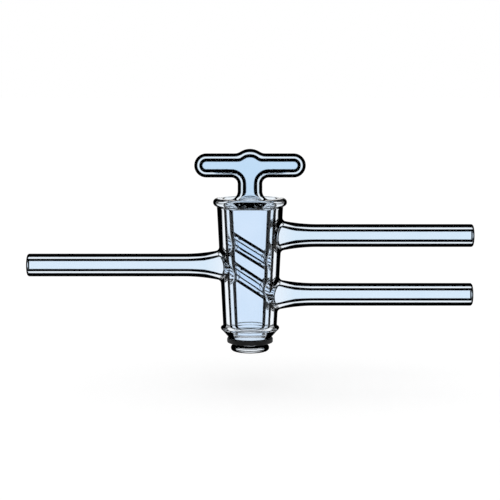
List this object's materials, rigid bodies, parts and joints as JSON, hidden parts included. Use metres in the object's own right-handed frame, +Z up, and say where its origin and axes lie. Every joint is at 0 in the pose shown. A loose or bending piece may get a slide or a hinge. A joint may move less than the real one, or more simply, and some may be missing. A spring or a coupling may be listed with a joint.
{
  "type": "three-way glass stopcock",
  "caption": "Three-way glass stopcock: a hollow T-handled ground plug turns in a tapered barrel and joins its side arm to either of the two arms opposite.",
  "frame": {"origin": "on the plug's axis, in the plane of the tail's lower end", "axes": "+Z up along the plug's axis towards the handle, +X towards the two right arms, the handle in the XZ plane at rest"},
  "size_m": [0.156, 0.0258, 0.0711],
  "materials": {
    "barrel_glass": "clear borosilicate, fire polished, ground bore",
    "plug_glass": "clear borosilicate, blown hollow, ground taper",
    "black_rubber": "matt moulded rubber"
  },
  "bodies": {
    "barrel": {"barrel": "barrel_glass"},
    "plug": {"plug": "plug_glass", "retaining_ring": "black_rubber"}
  },
  "joints": [
    {"name": "plug_turn", "type": "hinge", "parent": "barrel", "child": "plug", "pos_m": [0, 0, 0.0304], "axis": [0, 0, 1], "continuous": true}
  ]
}
